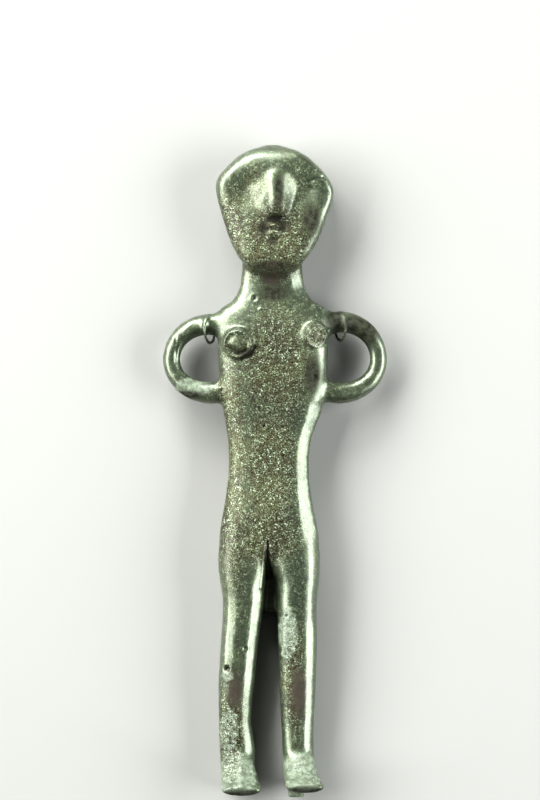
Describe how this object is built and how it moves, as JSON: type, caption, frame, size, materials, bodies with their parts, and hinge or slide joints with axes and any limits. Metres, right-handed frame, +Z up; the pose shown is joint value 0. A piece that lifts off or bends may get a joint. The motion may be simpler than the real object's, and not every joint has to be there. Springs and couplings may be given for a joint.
{
  "type": "bronze female figurine",
  "caption": "Small solid-cast bronze figure of a standing woman with a shield-shaped face, stud breasts, ring arms with armlets and straight legs, lying loose on its back.",
  "frame": {"origin": "on the floor, under the middle of the figure's length and width as it lies on its back", "axes": "+X is the onlooker's right, +Y runs from the soles to the crown, +Z is up, the way the face looks"},
  "size_m": [0.052, 0.1508, 0.0156],
  "materials": {
    "bronze": "dark olive patina, satin, pitted and crusted in places"
  },
  "bodies": {
    "root": {"bronze_figure": "bronze"}
  },
  "joints": []
}
